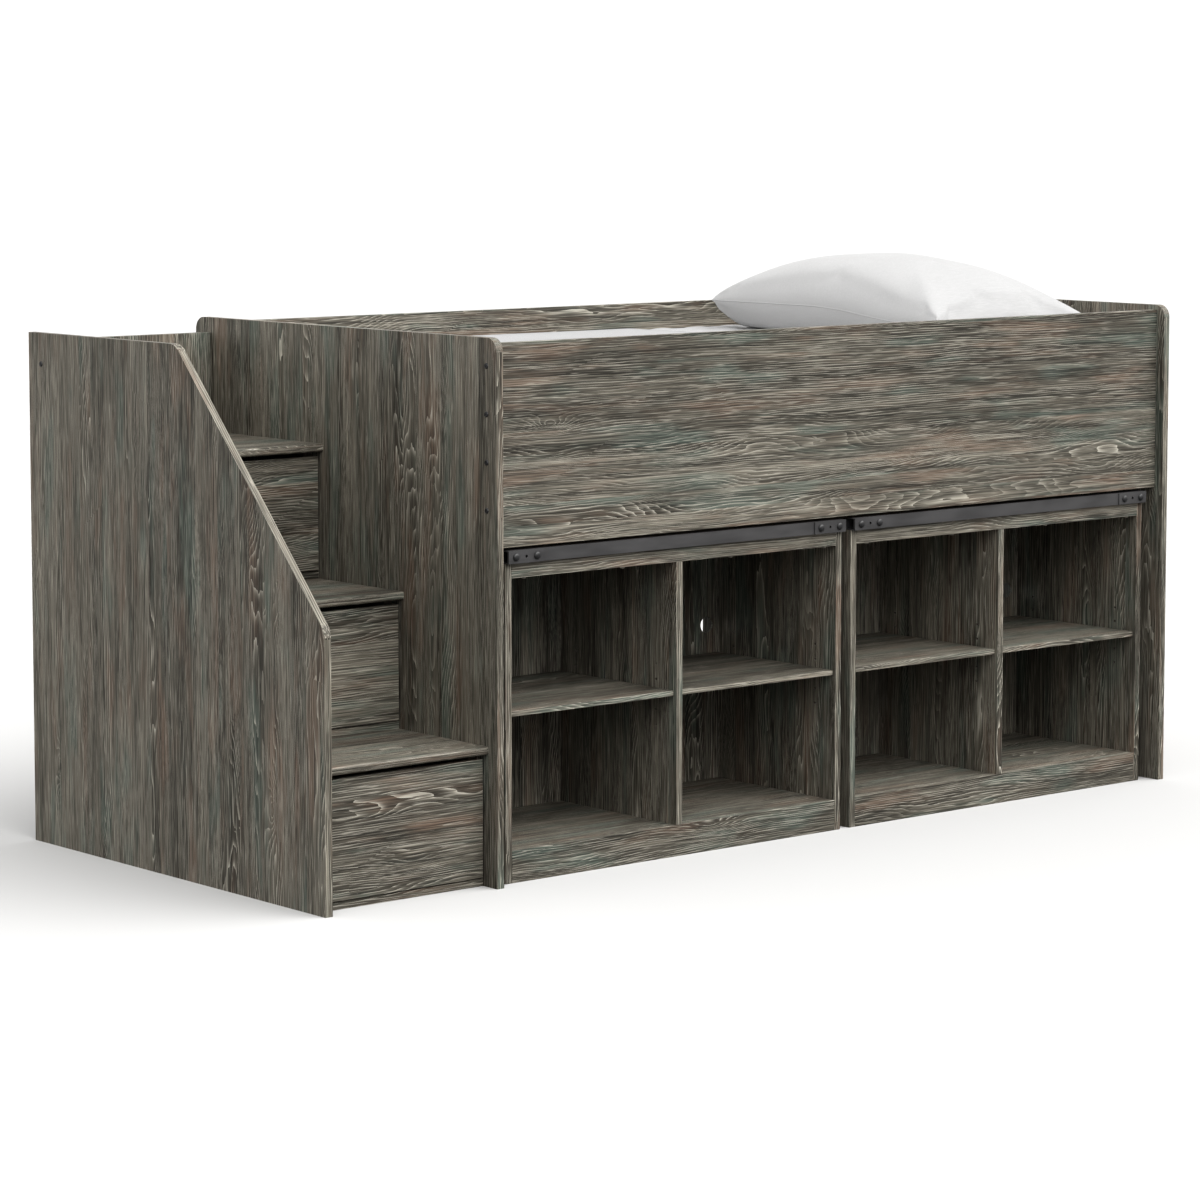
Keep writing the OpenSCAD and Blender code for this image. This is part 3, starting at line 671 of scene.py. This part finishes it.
def apply_modifiers(piece):
    """Replaces the piece's mesh by what its modifiers make of it."""
    graph = bpy.context.evaluated_depsgraph_get()
    mesh = bpy.data.meshes.new_from_object(piece.evaluated_get(graph))
    for polygon in mesh.polygons:
        polygon.use_smooth = True
    old = piece.data
    piece.modifiers.clear()
    piece.data = mesh
    bpy.data.meshes.remove(old)


def make_pillow(cloth):
    """A soft pillow across the bed's right end: raised at the back left, sunk at the front right corner."""
    low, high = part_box("pillow")
    room, seam_height, under, above_sheet = 0.002, 0.064, 0.150, 0.0006
    half_x, half_y = (high.x - low.x) / 2 - room, (high.y - low.y) / 2 - room
    seam = low.z + seam_height
    mesh = pillow_start(half_x, half_y, high.z - seam - room, under)
    pillow = link_mesh("soft_pillow", mesh, cloth)
    pillow.location = ((low.x + high.x) / 2, (low.y + high.y) / 2, seam)
    rim = [v.index for v in mesh.vertices if abs(v.co.z) < 1e-7]
    rim.sort(key=lambda index: math.atan2(mesh.vertices[index].co.y, mesh.vertices[index].co.x))
    fill_out(pillow, pressure=2.0, cap=0.007)
    settle_pillow(pillow.data, half_x, half_y, low.z - seam + above_sheet, high.z - seam)
    seam_in, seam_radius = 0.9985, 0.0014
    edge = [pillow.data.vertices[index].co * seam_in for index in rim]
    cord = tube_loop("pillow_seam", edge, seam_radius, cloth, sides=8)
    cord.parent = pillow
    finer = pillow.modifiers.new("finer", "SUBSURF")
    finer.levels = finer.render_levels = 1
    apply_modifiers(pillow)
    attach(pillow, "root")
    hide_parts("pillow")


def settle_pillow(mesh, half_x, half_y, rest, top):
    """Lets the front right and front left corners sink, adds folds, and flattens the part that rests."""
    contact = 0.010
    sink_right, sink_left, ridge_height, gather_depth, fold_depth = 0.056, 0.026, 0.004, 0.007, 0.004
    for v in mesh.vertices:
        u, w = v.co.x / half_x, v.co.y / half_y
        rim = max(abs(u), abs(w))
        near_left = smooth01(1.35 - 1.2 * math.hypot(u + 1, w + 1))
        sink = sink_right * smooth01(((u - w) / 2 + 0.1) / 1.1) + sink_left * near_left
        angle = math.atan2(v.co.y, v.co.x)
        corner = smooth01((abs(u) + abs(w) - 1.0) / 0.7)
        gather = noise.noise((math.cos(angle) * 7, math.sin(angle) * 7, 0.8 * rim))
        fold = noise.noise((u * 2.2 + 5, w * 2.2 - 3, 1.7))
        ridge = ridge_height * math.exp(-((u - w) / 0.09) ** 2) * smooth01((-u - 0.25) / 0.5)
        change = (gather_depth * gather * corner + fold_depth * fold) * smooth01((1 - rim) / 0.2)
        if v.co.z > 0:
            change += ridge
        v.co.z = min(top, v.co.z + math.copysign(1, v.co.z) * change - sink)
        if v.co.z < rest + contact:
            v.co.z = rest + contact * math.exp((v.co.z - rest - contact) / contact)


def make_sheet(cloth):
    """A flat sheet folded to a pad of layers and laid on the mattress, each fold with its rounded edge."""
    low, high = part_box("folded_sheet")
    layers, thickness, ripple = 4, 0.0007, 0.0012
    shorter = 0.004    # each layer is shorter at both ends than the one above it
    gap = (high.z - low.z) / layers
    length, width = high.x - low.x, high.y - low.y
    bm = bmesh.new()
    steps_x, steps_y, bend = 60, 48, 4
    path = []
    for k in range(layers):
        z = low.z + gap * (k + 0.5)
        inset = shorter * (layers - 1 - k)
        xs = [i / steps_x for i in range(steps_x + 1)]
        if k % 2:
            xs.reverse()
        path += [(low.x + inset + (length - 2 * inset) * x, z) for x in xs]
        if k < layers - 1:
            end, out = path[-1][0], gap / 2 * (-1) ** k
            for i in range(1, bend):
                a = math.pi * i / bend
                path.append((end + out * math.sin(a), z + gap / 2 * (1 - math.cos(a))))
    rows = []
    for j in range(steps_y + 1):
        t = j / steps_y
        row = []
        for x, z in path:
            y = low.y + width * t
            lift = ripple * noise.noise((x * 3.1, y * 3.1, 2.0)) if z > high.z - gap else 0.0
            row.append(bm.verts.new((x, y, z + lift)))
        rows.append(row)
    add_grid(bm, rows)
    sheet = link_mesh("laid_sheet", mesh_from(bm, "laid_sheet"), cloth)
    solid = sheet.modifiers.new("thickness", "SOLIDIFY")
    solid.thickness = thickness
    solid.offset = 0
    apply_modifiers(sheet)
    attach(sheet, "root")
    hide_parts("folded_sheet")


def make_bedding():
    knit = woven("mattress_knit", (0.42, 0.42, 0.424), 0.0016, 0.0005)
    tape = woven("mattress_tape", (0.39, 0.39, 0.398), 0.0012, 0.0004)
    percale = woven("pillow_percale", (0.45, 0.45, 0.453), 0.0009, 0.0003, sheen=0.15)
    sheeting = woven("sheet_percale", (0.375, 0.375, 0.38), 0.0009, 0.0003, sheen=0.15)
    make_mattress(knit, tape)
    make_sheet(sheeting)
    make_pillow(percale)


# ---------------------------------------------------------------- floor

def make_floor():
    """A plain floor, seen as white. It throws little light at the object, so the open bays stay dark."""
    reach, seen, thrown_back = 60, 0.57, 0.10
    mesh = bpy.data.meshes.new("floor")
    mesh.from_pydata([(-reach, -reach, 0), (reach, -reach, 0), (reach, reach, 0), (-reach, reach, 0)], [],
                     [(0, 1, 2, 3)])
    material = bpy.data.materials.new("floor")
    material.use_nodes = True
    material.node_tree.nodes.clear()
    g = Graph(material.node_tree)
    shown, thrown = g.node("ShaderNodeBsdfDiffuse"), g.node("ShaderNodeBsdfDiffuse")
    shown.inputs["Color"].default_value = (seen, seen, seen, 1)
    thrown.inputs["Color"].default_value = (thrown_back, thrown_back, thrown_back, 1)
    mix = g.node("ShaderNodeMixShader")
    g.feed(mix.inputs[0], g.node("ShaderNodeLightPath").outputs["Is Camera Ray"])
    g.feed(mix.inputs[1], thrown.outputs[0])
    g.feed(mix.inputs[2], shown.outputs[0])
    g.feed(g.node("ShaderNodeOutputMaterial").inputs["Surface"], mix.outputs[0])
    floor = bpy.data.objects.new("floor", mesh)
    mesh.materials.append(material)
    bpy.context.scene.collection.objects.link(floor)


make_camera()
make_world()
make_floor()
dress_boards()
dress_hardware()
make_bedding()
